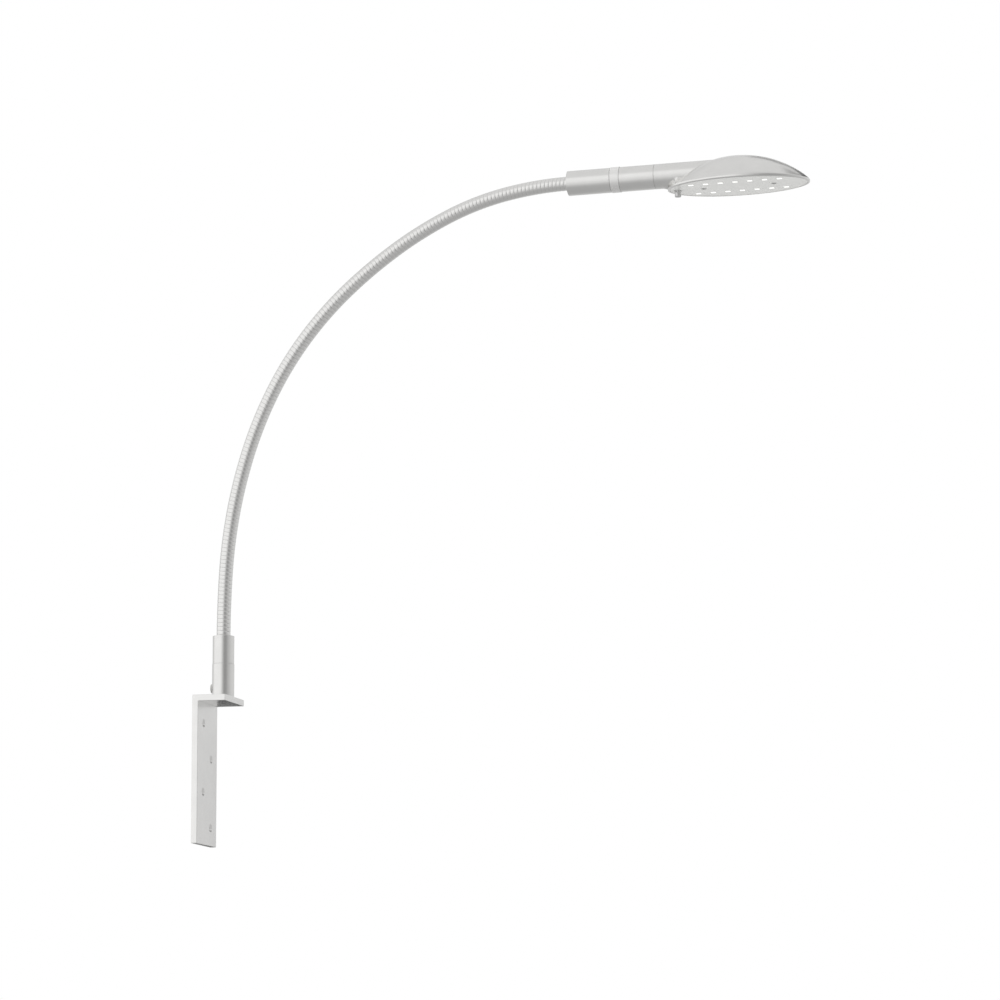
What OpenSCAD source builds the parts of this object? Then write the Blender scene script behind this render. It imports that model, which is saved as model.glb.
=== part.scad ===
/* [Bracket] */
// Width of the flat bar
bar_w = 60; // [48:1:80]
// Thickness of the flat bar
bar_t = 6; // [5:0.5:8]
// Height of the upright leg, to the top of the bracket
upright_h = 140; // [132:2:200]
// Reach of the top leg, from the wall
leg_reach = 32.5; // [32:0.5:45]
// Outside corner radius of the bent bar
corner_r = 1; // [0.5:0.25:3]
// Diameter of each fixing hole
fix_hole_d = 4.6; // [4:0.1:5.5]
// Countersink diameter of each fixing hole, at the face
fix_sink_d = 8; // [7:0.5:9]
// Height from one fixing hole to the next
fix_pitch = 32.5; // [26:0.5:35]
// Sideways distance between the two columns of fixing holes
fix_stagger = 24; // [14:1:36]
// Lowest fixing hole, above the foot of the upright
fix_low = 17; // [10:1:22]

/* [Base tube] */
// Distance of the tube's axis from the wall
tube_x = 21; // [20:0.5:21.5]
// Outside diameter of the fixed socket
socket_d = 21; // [20.5:0.25:22]
// Height of the fixed socket
socket_h = 31.5; // [29:0.5:38]
// Wall of the fixed socket
socket_wall = 1.8; // [1.5:0.1:2]
// Outside diameter of the turning sleeve
sleeve_d = 20.5; // [19.5:0.25:21]
// Height of the turning sleeve
sleeve_h = 26.3; // [22:0.5:34]
// Height of the bearing shoulder inside each swivel
shoulder_h = 7; // [5:0.5:9]
// Diameter of the hollow swivel spindles
spindle_d = 10; // [9:0.25:10.5]
// Diameter of the clamping screw under the socket
screw_d = 5; // [4:0.5:6]
// Outside diameter of the cable bush
bush_d = 8.6; // [8:0.2:9.4]
// How far the cable bush stands out of the socket
bush_out = 1.1; // [1:0.1:2.4]
// Height of the cable bush above the top leg
bush_z = 8.4; // [8.2:0.2:12]

/* [Flexible arm] */
// Outside diameter of the ribbed hose
hose_d = 13.25; // [12.5:0.25:14]
// Bore of the ribbed hose
hose_bore = 6.4; // [6:0.1:6.6]
// Depth of the groove between two ribs
rib_depth = 0.4; // [0.3:0.1:0.8]
// Length of each stretch of hose between two bending places
link_len = 60.25; // [50:0.25:75]
// Ribs on each stretch of hose
ribs = 16; // [12:1:17]
// Largest bend at each bending place, each way, in degrees
max_bend = 20; // [10:1:20]
// Length of hose held inside each ferrule
insert_len = 13; // [10:0.5:14]
// Diameter of the lead inside the arm
lead_d = 5.2; // [4.6:0.1:5.4]

/* [Head tube] */
// Outside diameter of the head sleeve and head tube
head_d = 23.5; // [22.5:0.1:25]
// Length of the head sleeve
head_sleeve_len = 41.7; // [38:0.5:50]
// Outside diameter of the swivel ring
ring_d = 24.3; // [23.3:0.1:25.5]
// Width of the swivel ring
ring_w = 8.6; // [6:0.2:12]
// Length of the head tube
head_tube_len = 33.4; // [30:0.5:42]
// Wall of the head sleeve and head tube
head_wall = 2; // [1.6:0.1:2.2]

/* [Lamp head] */
// Length of the lamp head's rim
head_len = 134.6; // [126:0.2:150]
// Width of the lamp head's rim
head_w = 81; // [76:0.5:92]
// Height of the dome above its rim
dome_h = 28.5; // [28.2:0.1:34]
// Wall of the dome
dome_wall = 2.2; // [1.8:0.1:2.8]
// Distance of the rim below the tube's axis
rim_drop = 15.4; // [14.6:0.1:15.6]
// Length of neck from the head tube to the rim's near tip
neck_len = 11.8; // [10:0.1:16]
// Depth of the cover plate above the rim
plate_recess = 0.8; // [0.4:0.1:1.2]
// Thickness of the cover plate
plate_t = 1.2; // [0.8:0.1:1.6]
// Distance from one light-emitting diode to the next
led_pitch = 14; // [12:0.1:14.6]
// Distance between the two rows of diodes
led_rows = 37; // [30:0.5:40]
// Length of a diode, along the head
led_l = 5.4; // [4:0.1:6]
// Width of a diode, across the head
led_w = 5; // [4:0.1:6]
// Thickness of the diode board
board_t = 1.6; // [1:0.1:2]
// Distance from the middle of the head to each plate screw
plate_screw_x = 33.4; // [30:0.1:35]
// Diameter of the push button
button_d = 6; // [5:0.1:6.4]
// How far the push button hangs below the rim
button_out = 5.8; // [4:0.1:8]
// Travel of the push button
button_travel = 1.2; // [0.8:0.1:1.4]
// Distance of the push button from the rim's near tip
button_inset = 9.1; // [8.9:0.1:14]

/* [Hidden] */
$fn = 48;

// Clearance of a running fit, and of a seated one
run_gap = 0.05;
// Gap between two faces that turn on each other
swivel_gap = 0.3;
// Small chamfer on turned edges
edge = 0.4;
// A cut runs past its face by this much
over = 1;

// The bracket stands on the wall at x = 0, with the middle of its upright at the origin
leg_top = upright_h / 2;
foot = -upright_h / 2;

// Inner sizes of the base
socket_r = socket_d / 2;
socket_bore_r = socket_r - socket_wall;
plug_h = 3.5;
spindle_r = spindle_d / 2 - run_gap;
spindle_bore_r = hose_bore / 2;
flange_h = 1.6;
washer_h = 0.7;
sleeve_z = socket_h + swivel_gap;
sleeve_top = sleeve_z + sleeve_h;
ferrule_len = insert_len + 2;
ferrule_stop = 1.5;
sink_r = screw_d;

// The hose: its rest curve is one arc for each stretch, and each bends by these degrees
rest_bends = [3.3, 7.25, 7.6, 9.25, 10.4, 10.25, 7.8, 9.25, 13.2, 10.3];
links = len(rest_bends);
pitch = link_len / ribs;
hose_r = hose_d / 2;
root_r = hose_r - rib_depth;
bore_r = hose_bore / 2;
lead_r = lead_d / 2;
hose_sides = 8;
flat_share = cos(180 / hose_sides);
ball_r = hose_r - 1.5;
cup_r = (ball_r + 0.13) / flat_share;
cup_depth = ball_r + 0.3;
lip_s = 0.3;
lip_r = root_r + 0.05;
end_back = lip_r * sin(max_bend) - lip_s * cos(max_bend) + 0.2;
flare_s = ball_r / 2;
flare_r = ((lead_r + 0.1) / cos(max_bend) + flare_s * tan(max_bend)) / flat_share;
ferrule_bore_r = root_r + run_gap;

// Inner sizes of the head end
head_r = head_d / 2;
head_bore_r = head_r - head_wall;
ring_x = head_sleeve_len + swivel_gap;
neck_gap = 0.1;
tube_start = ring_x + ring_w + neck_gap;
tube_end = tube_start + head_tube_len;
web_len = 9;
spigot_len = 8;
neck_r = head_r + 0.05;
neck_bore_r = 7.5;
head_x = tube_end + neck_gap + neck_len + head_len / 2;

// Lamp head: a low upright lip, and on it a dome that is full at its far end and slopes towards the neck
half_len = head_len / 2;
half_w = head_w / 2;
dome_round = 0.97;
dome_lean = -0.24;
dome_swell = 0.17;
dome_full = 2.33;
dome_taper = -0.22;
plate_play = 0.3;
plate_len = half_len - dome_wall - plate_play;
plate_w = half_w - dome_wall - plate_play;
plate_z = plate_recess;
lip_h = plate_z + plate_t + 0.2;
board_z = plate_z + plate_t + 0.1;
board_top = board_z + board_t;
board_len = half_len - 20;
board_w = half_w - 12;
led_count = 7;
led_gap = 0.3;
boss_r = 3.2;
core_run = 16.8;
post_r = 1.4;
m3_r = 1.5;
button_r = button_d / 2;
button_x = half_len - button_inset;
bushing_r = button_r + 0.4;
switch_r = button_r + 1.1;
switch_h = 5.4;
driver_len = 34;
driver_w = 18;
driver_z = board_top + 6;
core_d = 1.6;

function sum_to(list, count) = count == 0 ? 0 : list[count - 1] + sum_to(list, count - 1);

// Point and lean of the centre line, s along one stretch that bends by b degrees
function arc_radius(b) = link_len * 180 / (PI * b);
function arc_point(s, b) = let (t = s / link_len * b, r = arc_radius(b)) [r * (1 - cos(t)), 0, r * sin(t)];
function lean(s, b) = min(max(s, 0), link_len) / link_len * b;
function along(s, b) = s < 0 ? [0, 0, s]
    : s <= link_len ? arc_point(s, b)
    : arc_point(link_len, b) + (s - link_len) * [sin(b), 0, cos(b)];

// Turn a vector by a lean about the y axis
function leaned(v, a) = [v.x * cos(a) + v.z * sin(a), v.y, v.z * cos(a) - v.x * sin(a)];

// Where stretch k starts, and how far it leans there
function start_lean(k) = sum_to(rest_bends, k);
function start_point(k) = k == 0 ? [tube_x, 0, leg_top + sleeve_top]
    : start_point(k - 1) + leaned(arc_point(link_len, rest_bends[k - 1]), start_lean(k - 1));

arm_end = start_point(links);
arm_tilt = 90 - start_lean(links);

module at_base() { translate([tube_x, 0, leg_top]) children(); }
module at_link(k) { translate(start_point(k)) rotate([0, start_lean(k), 0]) children(); }
// At the arm's end x runs along the head and z points up
module at_head() { translate(arm_end) rotate([0, -arm_tilt, 0]) children(); }
// In the middle of the lamp head, with z = 0 at the rim
module at_rim() { at_head() translate([head_x, 0, -rim_drop]) children(); }

// A turned ring from z0 to z1, with chamfered outer edges
module turned(r_out, r_in, z0, z1, e = edge) {
    rotate_extrude()
        polygon([[r_in, z0], [r_out - e, z0], [r_out, z0 + e], [r_out, z1 - e], [r_out - e, z1],
            [r_in, z1]]);
}

// The same along x, for the head end
module turned_x(r_out, r_in, x0, x1, e = edge) { rotate([0, 90, 0]) turned(r_out, r_in, x0, x1, e); }
module rod_x(r, x0, x1) { translate([x0, 0, 0]) rotate([0, 90, 0]) cylinder(r = r, h = x1 - x0); }

// Bracket
module fixing_hole(y, z) {
    translate([-over, y, z]) rotate([0, 90, 0]) cylinder(d = fix_hole_d, h = bar_t + 2 * over);
    sink_h = (fix_sink_d - fix_hole_d) / 2;
    translate([bar_t - sink_h, y, z]) rotate([0, 90, 0])
        cylinder(d1 = fix_hole_d, d2 = fix_sink_d, h = sink_h);
    translate([bar_t, y, z]) rotate([0, 90, 0]) cylinder(d = fix_sink_d, h = over);
}

module bracket() {
    color("gainsboro") difference() {
        union() {
            translate([0, -bar_w / 2, foot]) cube([bar_t, bar_w, upright_h - corner_r]);
            translate([corner_r, -bar_w / 2, leg_top - bar_t]) cube([leg_reach - corner_r, bar_w, bar_t]);
            translate([corner_r, bar_w / 2, leg_top - corner_r]) rotate([90, 0, 0])
                cylinder(r = corner_r, h = bar_w);
        }
        for (i = [0:3]) fixing_hole((i % 2 == 0 ? 1 : -1) * fix_stagger / 2, foot + fix_low + i * fix_pitch);
        at_base() {
            translate([0, 0, -bar_t - over]) cylinder(d = screw_d + 0.2, h = bar_t + 2 * over);
            translate([0, 0, -bar_t]) cylinder(r1 = sink_r, r2 = screw_d / 2 + 0.1, h = sink_r - screw_d / 2);
            translate([0, 0, -bar_t - over]) cylinder(r = sink_r, h = over);
        }
    }
}

// Base tube
module base_socket() {
    color("silver") at_base() difference() {
        turned(socket_r, 0.001, 0, socket_h);
        translate([0, 0, -over]) cylinder(r = socket_bore_r, h = socket_h - shoulder_h + over);
        translate([0, 0, -over]) cylinder(d = spindle_d, h = socket_h + 2 * over);
        translate([0, 0, bush_z]) rotate([0, -90, 0])
            cylinder(r = bush_d / 2 - 0.7 + run_gap, h = socket_r + over);
    }
}

module base_plug() {
    color("gray") at_base() turned(socket_bore_r - run_gap, screw_d / 2, 0, plug_h, 0.2);
}

module base_screw() {
    shank_r = screw_d / 2 - run_gap;
    head_h = sink_r - screw_d / 2 - 0.2;
    color("dimgray") at_base() translate([0, 0, -bar_t]) difference() {
        rotate_extrude() polygon([[0, 0.1], [sink_r - 0.2, 0.1], [shank_r, head_h + 0.1],
            [shank_r, bar_t + plug_h - 0.3], [shank_r - 0.3, bar_t + plug_h], [0, bar_t + plug_h]]);
        translate([0, 0, 0.1 - over]) cylinder(r = screw_d / 3, h = 1.8 + over, $fn = 6);
    }
}

module cable_bush() {
    color("dimgray") at_base() difference() {
        union() {
            difference() {
                translate([-socket_r - bush_out, 0, bush_z]) rotate([0, 90, 0])
                    turned(bush_d / 2, 0.001, 0, bush_out + 1.2, 0.3);
                translate([0, 0, -over]) cylinder(r = socket_r + run_gap, h = socket_h);
            }
            translate([-socket_r - bush_out + 0.5, 0, bush_z]) rotate([0, 90, 0])
                cylinder(r = bush_d / 2 - 0.7, h = bush_out - 0.5 + socket_wall + 0.8);
        }
        translate([-socket_r - bush_out - over, 0, bush_z]) rotate([0, 90, 0])
            cylinder(r = lead_r + 0.1, h = bush_out + socket_wall + 4 * over);
    }
}

// The friction washer sits between the spindle's flange and the shoulder
module base_washer() {
    z = socket_h - shoulder_h - 0.1 - washer_h;
    color("white") at_base() difference() {
        translate([0, 0, z]) cylinder(r = socket_bore_r - 0.4, h = washer_h);
        translate([0, 0, z - over]) cylinder(r = spindle_d / 2 + 0.1, h = washer_h + 2 * over);
    }
}

// A hollow spindle: its flange hangs behind the shoulder and its end is held in the turning piece
module spindle(flange_r, flange_z, top_z) {
    difference() {
        union() {
            translate([0, 0, flange_z]) cylinder(r = flange_r, h = flange_h);
            translate([0, 0, flange_z]) cylinder(r = spindle_r, h = top_z - flange_z);
        }
        translate([0, 0, flange_z - over]) cylinder(r = spindle_bore_r, h = top_z - flange_z + 2 * over);
    }
}

base_flange_z = socket_h - shoulder_h - 0.2 - washer_h - flange_h;
base_spindle_top = sleeve_top - ferrule_len - 0.3;

module base_spindle() {
    color("goldenrod") at_base() spindle(socket_bore_r - 0.5, base_flange_z, base_spindle_top);
}

module base_sleeve() {
    sleeve_r = sleeve_d / 2;
    color("silver") at_base() difference() {
        turned(sleeve_r, 0.001, sleeve_z, sleeve_top);
        translate([0, 0, sleeve_z - over]) cylinder(d = spindle_d, h = sleeve_h + 2 * over);
        translate([0, 0, sleeve_top - ferrule_len - 0.1])
            cylinder(r = sleeve_r - socket_wall, h = ferrule_len + over);
    }
}

// Each ferrule grips the plain end of the hose and stops it at a ring
module ferrule(r_out) {
    difference() {
        turned(r_out, 0.001, 0, ferrule_len - 0.2, 0.3);
        translate([0, 0, ferrule_stop]) cylinder(r = ferrule_bore_r, h = ferrule_len);
        translate([0, 0, -over]) cylinder(r = bore_r, h = ferrule_len);
    }
}

module lower_ferrule() {
    color("gray") at_base() translate([0, 0, sleeve_top - ferrule_len])
        ferrule(sleeve_d / 2 - socket_wall - run_gap);
}

// Ribbed hose: rings of points around the centre line, joined by triangles into one closed skin
function ring_points(s, r, b) = let (c = along(s, b), a = lean(s, b))
    [for (i = [0:hose_sides - 1]) let (t = 360 * i / hose_sides)
        c + r * cos(t) * [cos(a), 0, -sin(a)] + r * sin(t) * [0, 1, 0]];

function ball_at(s) = sqrt(ball_r * ball_r - s * s);

// The skin in length and radius, up the outside and back down the bore
function hose_start(k) = k == 0 ? [[-insert_len, root_r], [0, root_r]] : [[lip_s, lip_r]];
function hose_ribs() = [for (i = [0:ribs - 1], part = [0:1]) if (i < ribs - 1 || part == 0)
    (i < ribs - 1 || part == 1) ? [(i + 0.5 + part / 2) * pitch, part == 0 ? hose_r : root_r]
    : [min((i + 0.5) * pitch, link_len - end_back), hose_r]];
function hose_finish(k) = k == links - 1
    ? [[link_len, root_r], [link_len + insert_len, root_r], [link_len + insert_len, bore_r],
        [link_len, bore_r]]
    : [[link_len - end_back, ball_at(end_back)], [link_len - end_back / 2, ball_at(end_back / 2)],
        [link_len, ball_r], [link_len + flare_s / 2, ball_at(flare_s / 2)],
        [link_len + flare_s, ball_at(flare_s)], [link_len + flare_s, flare_r], [link_len, bore_r]];
function hose_bore_back(k) = [for (i = [3:-1:1]) [link_len * i / 4, bore_r]];
function hose_mouth(k) = k == 0 ? [[0, bore_r], [-insert_len, bore_r]]
    : [[cup_depth, bore_r], [cup_depth, cup_r], [lip_s, cup_r]];
function hose_skin(k) = concat(hose_start(k), hose_ribs(), hose_finish(k), hose_bore_back(k), hose_mouth(k));

module closed_skin(profile, b) {
    count = len(profile);
    n = hose_sides;
    points = [for (p = profile) each ring_points(p[0], p[1], b)];
    faces = [for (j = [0:count - 1], i = [0:n - 1]) let (
        low = j * n,
        high = ((j + 1) % count) * n,
        next = (i + 1) % n)
        each [[low + i, high + i, low + next], [low + next, high + i, high + next]]];
    polyhedron(points, faces);
}

module hose(k) { color("darkgray") at_link(k) closed_skin(hose_skin(k), rest_bends[k]); }

// Lead inside the arm: two stretches meet with room to bend
lead_back = lead_r * tan(max_bend / 2) + 0.1;
module lead(k) {
    b = rest_bends[k];
    r = arc_radius(b);
    t0 = lead_back / link_len * b;
    color("white") at_link(k) translate([r, 0, 0]) rotate([90, 0, 0]) rotate([0, 0, 180 - b + t0])
        rotate_extrude(angle = b - 2 * t0) translate([r, 0]) circle(r = lead_r);
}

// The same lead runs on inside both ferrules, down through the base and on to the head's swivel
module base_lead() {
    z0 = base_flange_z - 3;
    color("white") at_base() translate([0, 0, z0]) cylinder(r = lead_r, h = sleeve_top - z0);
}

module sleeve_lead() { color("white") at_head() rod_x(lead_r, 0, head_flange_x - 0.1); }

// Head sleeve and swivel
head_flange_x = head_sleeve_len - shoulder_h - 0.2 - washer_h - flange_h;

module upper_ferrule() {
    color("gray") at_head() translate([ferrule_len + 0.2, 0, 0]) rotate([0, -90, 0])
        ferrule(head_bore_r - run_gap);
}

module head_sleeve() {
    color("silver") at_head() difference() {
        turned_x(head_r, 0.001, 0, head_sleeve_len);
        rod_x(head_bore_r, -over, head_sleeve_len - shoulder_h);
        rod_x(spindle_d / 2, -over, head_sleeve_len + over);
    }
}

module head_washer() {
    x = head_sleeve_len - shoulder_h - 0.1 - washer_h;
    color("white") at_head() difference() {
        rod_x(head_bore_r - 0.4, x, x + washer_h);
        rod_x(spindle_d / 2 + 0.1, x - over, x + washer_h + over);
    }
}

module head_spindle() {
    color("goldenrod") at_head() rotate([0, 90, 0])
        spindle(head_bore_r - 0.5, head_flange_x, tube_start + web_len);
}

module swivel_ring() {
    color("white") at_head() difference() {
        turned_x(ring_d / 2, 0.001, ring_x, ring_x + ring_w);
        rod_x(spindle_d / 2 + run_gap, ring_x - over, ring_x + ring_w + over);
    }
}

module head_tube() {
    color("silver") at_head() difference() {
        turned_x(head_r, 0.001, tube_start, tube_end);
        rod_x(spindle_d / 2, tube_start - over, tube_end + over);
        rod_x(head_bore_r, tube_start + web_len, tube_end + over);
    }
}

// Dome: oval rings that shrink towards the top
function dome_power(t) = dome_round + dome_lean * cos(t) + dome_swell * cos(2 * t);
function dome_rise(u, t) = u >= 90 ? 0
    : pow(1 - pow(sin(u), dome_full + dome_taper * cos(t)), dome_power(t));
function dome_ring(a, b, h, u, n) = [for (i = [0:n - 1]) let (t = 360 * i / n)
    [a * sin(u) * cos(t), b * sin(u) * sin(t), lip_h + (h - lip_h) * dome_rise(u, t)]];

module dome_solid(a, b, h, n, steps) {
    rows = steps + 1;
    foot = [for (p = dome_ring(a, b, h, 90, n)) [p.x, p.y, 0]];
    points = concat(foot, [for (j = [0:steps - 1]) each dome_ring(a, b, h, 90 * (1 - j / steps), n)],
        [[0, 0, h]]);
    sides = [for (j = [0:rows - 2], i = [0:n - 1]) let (low = j * n, high = low + n, next = (i + 1) % n)
        each [[low + i, high + i, low + next], [low + next, high + i, high + next]]];
    top = [for (i = [0:n - 1]) [(rows - 1) * n + i, rows * n, (rows - 1) * n + (i + 1) % n]];
    polyhedron(points, concat(sides, top, [[for (i = [0:n - 1]) i]]));
}

// The casting: dome and neck in one, hollow, with a seat for the cover plate and two screw bosses
module head_housing() {
    neck_x = tube_end + neck_gap - head_x;
    inside_x = -0.15 * half_len;
    color("silver") at_rim() difference() {
        union() {
            difference() {
                union() {
                    dome_solid(half_len, half_w, dome_h, 44, 12);
                    translate([0, 0, rim_drop]) rod_x(neck_r, neck_x, inside_x);
                    translate([0, 0, rim_drop])
                        rod_x(head_bore_r - run_gap, neck_x - spigot_len, neck_x + over);
                }
                dome_solid(half_len - dome_wall, half_w - dome_wall, dome_h - dome_wall, 36, 8);
                translate([0, 0, -over]) linear_extrude(over + plate_z + plate_t + 0.1)
                    polygon(oval(half_len - dome_wall, half_w - dome_wall, 72));
                translate([0, 0, rim_drop]) rod_x(neck_bore_r, neck_x - spigot_len - over, inside_x + over);
                translate([-button_x, 0, plate_z]) cylinder(r = switch_r + 0.4, h = switch_h + 3);
            }
            intersection() {
                union() {
                    dome_solid(half_len - dome_wall / 2, half_w - dome_wall / 2, dome_h - dome_wall / 2, 36, 8);
                    translate([0, 0, rim_drop]) rod_x(neck_r - 1, neck_x, inside_x);
                }
                for (side = [-1, 1]) translate([side * plate_screw_x, 0, board_top + run_gap])
                    cylinder(r = boss_r, h = dome_h);
            }
        }
        for (side = [-1, 1]) translate([side * plate_screw_x, 0, board_top - over])
            cylinder(r = m3_r - 0.2, h = 10);
    }
}

function oval(a, b, n = 60) = [for (i = [0:n - 1]) [a * cos(360 * i / n), b * sin(360 * i / n)]];

module each_led() {
    for (row = [-1, 1], i = [0:led_count - 1])
        translate([(i - (led_count - 1) / 2) * led_pitch, row * led_rows / 2, 0]) children();
}

module led_board() {
    color("white") at_rim() translate([0, 0, board_z]) difference() {
        linear_extrude(board_t) polygon(oval(board_len, board_w));
        for (side = [-1, 1]) translate([side * plate_screw_x, 0, -over])
            cylinder(r = m3_r + 0.1, h = board_t + 2 * over);
    }
}

module leds() {
    color("ivory") at_rim() each_led() translate([-led_l / 2, -led_w / 2, 0.2])
        cube([led_l, led_w, board_z - 0.2]);
}

module cover_plate() {
    color("lightgray") at_rim() translate([0, 0, plate_z]) difference() {
        linear_extrude(plate_t) polygon(oval(plate_len, plate_w));
        each_led() translate([-led_l / 2 - led_gap, -led_w / 2 - led_gap, -over])
            cube([led_l + 2 * led_gap, led_w + 2 * led_gap, plate_t + 2 * over]);
        for (side = [-1, 1]) translate([side * plate_screw_x, 0, -over])
            cylinder(r = m3_r + 0.1, h = plate_t + 2 * over);
        translate([-button_x, 0, -over]) cylinder(r = bushing_r + run_gap, h = plate_t + 2 * over);
    }
}

module plate_screws() {
    color("gray") at_rim() for (side = [-1, 1]) translate([side * plate_screw_x, 0, 0]) difference() {
        union() {
            cylinder(r = 2.7, h = plate_z);
            cylinder(r = m3_r - 0.25, h = board_top + 6);
        }
        translate([0, 0, -over]) cylinder(r = 1, h = plate_z + over, $fn = 6);
    }
}

// The driver stands on four posts over the diode board
module driver_board() {
    color("seagreen") at_rim() union() {
        translate([-driver_len / 2, -driver_w / 2, driver_z]) cube([driver_len, driver_w, board_t]);
        for (x = [-1, 1], y = [-1, 1]) translate([x * (driver_len / 2 - 2), y * (driver_w / 2 - 2), board_top])
            cylinder(r = post_r, h = driver_z - board_top + 0.5);
        translate([-12, -4, driver_z + board_t - 0.1]) cube([9, 8, 4]);
        translate([4, 0, driver_z + board_t - 0.1]) cylinder(r = 4, h = 6);
    }
}

// The lead stops short of the rear screw boss, and its two cores run past it to the driver
cable_end = head_x - plate_screw_x - boss_r - core_run;
driver_reach = head_x - driver_len / 2 - cable_end;
module head_cable() {
    color("white") at_head() rod_x(lead_r, head_flange_x + 0.1, cable_end);
}

module rod_between(a, b, r) {
    d = b - a;
    translate(a) rotate([0, acos(d.z / norm(d)), atan2(d.y, d.x)]) cylinder(r = r, h = norm(d));
}

module core_wires() {
    r = core_d / 2;
    drop = rim_drop - driver_z - board_t - r;
    color("black") at_head() translate([cable_end, 0, 0]) for (side = [-1, 1])
        rod_between([0.3, side * lead_r / 2, 0], [driver_reach + 3, side * (driver_w / 2 - 1), 0.1 - drop], r);
}

// Push button and its switch
module switch_body() {
    color("gray") at_rim() translate([-button_x, 0, 0]) difference() {
        union() {
            translate([0, 0, plate_z + plate_t]) cylinder(r = switch_r, h = switch_h);
            translate([0, 0, plate_z]) cylinder(r = bushing_r, h = plate_t + over);
        }
        translate([0, 0, plate_z - over]) cylinder(r = button_r + run_gap, h = plate_t + switch_h + over - 1);
    }
}

cap_top = plate_z + plate_t + 1.4;
module push_button() {
    color("white") at_rim() translate([-button_x, 0, 0]) difference() {
        rotate_extrude() polygon([[0, -button_out], [button_r - 0.8, -button_out],
            [button_r - 0.25, 0.25 - button_out], [button_r, 0.9 - button_out], [button_r, cap_top],
            [0, cap_top]]);
        translate([0, 0, cap_top - 1]) cylinder(r = button_r - 0.6, h = 2);
    }
}

// The return spring: one wire wound as a helix between the cap and the switch
module switch_spring() {
    turns = 3;
    wire_r = 0.25;
    coil_r = button_r - 1;
    z0 = cap_top - 1 + wire_r + 0.05;
    z1 = plate_z + plate_t + switch_h - 1 - wire_r - 0.05;
    steps = turns * 8;
    function coil(i) = let (t = 360 * turns * i / steps) [coil_r * cos(t), coil_r * sin(t),
        z0 + (z1 - z0) * i / steps];
    points = [for (i = [0:steps], j = [0:5]) let (t = 360 * turns * i / steps, c = coil(i))
        c + wire_r * cos(60 * j) * [cos(t), sin(t), 0] + wire_r * sin(60 * j) * [0, 0, 1]];
    sides = [for (i = [0:steps - 1], j = [0:5]) let (low = i * 6, high = low + 6, next = (j + 1) % 6)
        each [[low + j, low + next, high + j], [low + next, high + next, high + j]]];
    ends = [[for (j = [5:-1:0]) j], [for (j = [0:5]) steps * 6 + j]];
    color("silver") at_rim() translate([-button_x, 0, 0]) polyhedron(points, concat(sides, ends));
}

bracket();
base_socket();
base_plug();
base_screw();
cable_bush();
base_washer();
base_sleeve();
base_spindle();
lower_ferrule();
base_lead();
for (k = [0:links - 1]) {
    hose(k);
    lead(k);
}
upper_ferrule();
sleeve_lead();
head_sleeve();
head_washer();
swivel_ring();
head_tube();
head_spindle();
head_housing();
led_board();
leds();
cover_plate();
plate_screws();
driver_board();
head_cable();
core_wires();
switch_body();
switch_spring();
push_button();
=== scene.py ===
# Furniture light on a bent-bar bracket: a ribbed arm between two swivels and an oval head with fourteen diodes
import bpy
import bmesh
import math
from mathutils import Matrix, Vector


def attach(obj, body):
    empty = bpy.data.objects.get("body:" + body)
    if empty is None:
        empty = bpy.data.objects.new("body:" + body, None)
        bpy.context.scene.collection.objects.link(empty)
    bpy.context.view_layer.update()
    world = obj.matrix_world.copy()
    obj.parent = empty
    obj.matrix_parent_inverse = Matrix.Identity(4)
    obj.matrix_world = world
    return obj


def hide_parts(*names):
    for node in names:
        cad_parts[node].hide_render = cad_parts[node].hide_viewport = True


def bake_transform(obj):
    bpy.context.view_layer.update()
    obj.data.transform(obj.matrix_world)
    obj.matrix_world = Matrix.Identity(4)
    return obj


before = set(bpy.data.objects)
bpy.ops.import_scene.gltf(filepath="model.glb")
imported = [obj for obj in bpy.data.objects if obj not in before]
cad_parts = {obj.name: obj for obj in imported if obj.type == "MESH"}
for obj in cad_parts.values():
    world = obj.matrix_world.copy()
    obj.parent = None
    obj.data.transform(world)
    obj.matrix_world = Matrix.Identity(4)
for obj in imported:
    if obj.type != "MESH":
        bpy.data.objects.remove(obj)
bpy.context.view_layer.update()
mm = 0.001  # every size below is in millimetres
sameSpot = 0.000002  # metres; closer points are one
print("frame loaded:", len(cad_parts), "solids")


# Working habits that every piece shares

def freshStart():
    if bpy.context.mode != "OBJECT":
        bpy.ops.object.mode_set(mode="OBJECT")
    bpy.ops.object.select_all(action="DESELECT")


def pickOnly(piece):
    freshStart()
    piece.select_set(True)
    bpy.context.view_layer.objects.active = piece


def useModifier(piece, kind, **settings):
    pickOnly(piece)
    bpy.ops.object.modifier_add(type=kind)
    modifier = piece.modifiers[-1]
    for key, value in settings.items():
        setattr(modifier, key, value)
    bpy.ops.object.modifier_apply(modifier=modifier.name)


def softenEdges(piece, width, segments=3, angle=40):
    useModifier(piece, "BEVEL", width=width * mm, segments=segments, limit_method="ANGLE",
                angle_limit=math.radians(angle), miter_outer="MITER_ARC")


def cutWith(piece, cutters, operation="DIFFERENCE"):
    for cutter in cutters:
        useModifier(piece, "BOOLEAN", operation=operation, object=cutter, solver="EXACT")
        bpy.data.objects.remove(cutter, do_unlink=True)


def moveTo(piece, place):
    piece.matrix_world = place
    pickOnly(piece)
    bpy.ops.object.transform_apply(location=True, rotation=True, scale=True)
    return piece


def tidyMesh(piece):
    pickOnly(piece)
    bpy.ops.object.mode_set(mode="EDIT")
    bpy.ops.mesh.select_mode(type="VERT")
    bpy.ops.mesh.select_all(action="SELECT")
    bpy.ops.mesh.remove_doubles(threshold=sameSpot)
    bpy.ops.mesh.normals_make_consistent(inside=False)
    bpy.ops.object.mode_set(mode="OBJECT")


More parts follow.
